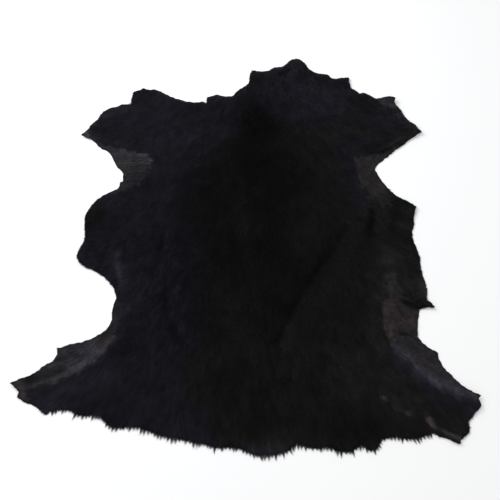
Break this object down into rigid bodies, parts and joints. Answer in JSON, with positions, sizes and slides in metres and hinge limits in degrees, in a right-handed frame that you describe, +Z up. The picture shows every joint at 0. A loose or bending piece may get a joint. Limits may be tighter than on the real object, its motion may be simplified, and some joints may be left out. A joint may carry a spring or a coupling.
{
  "type": "leather hide",
  "caption": "Black hair-on leather hide laid out flat: irregular cut outline with neck, shoulders, legs and belly lobes, low buckles, bare armpit and flank skin, longer hair along the rump.",
  "frame": {"origin": "bottom centre of the bounding box, on the floor that the hide lies on", "axes": "+Y along the spine towards the neck, +X to the right seen from above with the neck away, +Z up, out of the hair side"},
  "size_m": [1.997, 2.239, 0.0268],
  "materials": {
    "coat": "black lying hair with a faint cool sheen, brownish-grey bare skin at the armpits and flanks"
  },
  "bodies": {
    "root": {"hide": "coat"}
  },
  "joints": []
}
